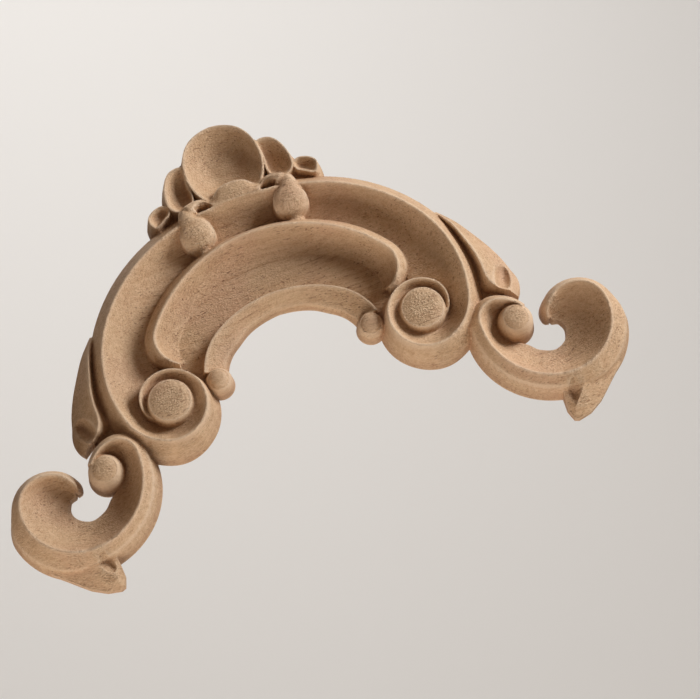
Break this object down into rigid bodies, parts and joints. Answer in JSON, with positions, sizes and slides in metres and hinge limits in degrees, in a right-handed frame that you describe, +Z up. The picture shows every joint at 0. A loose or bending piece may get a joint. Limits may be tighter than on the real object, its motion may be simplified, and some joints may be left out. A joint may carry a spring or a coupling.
{
  "type": "carved wooden corner onlay",
  "caption": "Carved wooden corner onlay with a flat back: C scrolls round an arch, volutes with bosses, hooked ends with leaves, and a shell crest with drops.",
  "frame": {"origin": "on the flat back, on the middle line, behind the cove of the large scroll, 31.6 mm below the top of the shell", "axes": "+Y out of the flat back into the surface it is fixed to, +Z up towards the shell, +X to the viewer's right; the carved face looks towards -Y"},
  "size_m": [0.2004, 0.0134, 0.1289],
  "materials": {
    "wood": "bare, unfinished, pale hardwood with small dark pores"
  },
  "bodies": {
    "root": {"corner_onlay": "wood"}
  },
  "joints": []
}
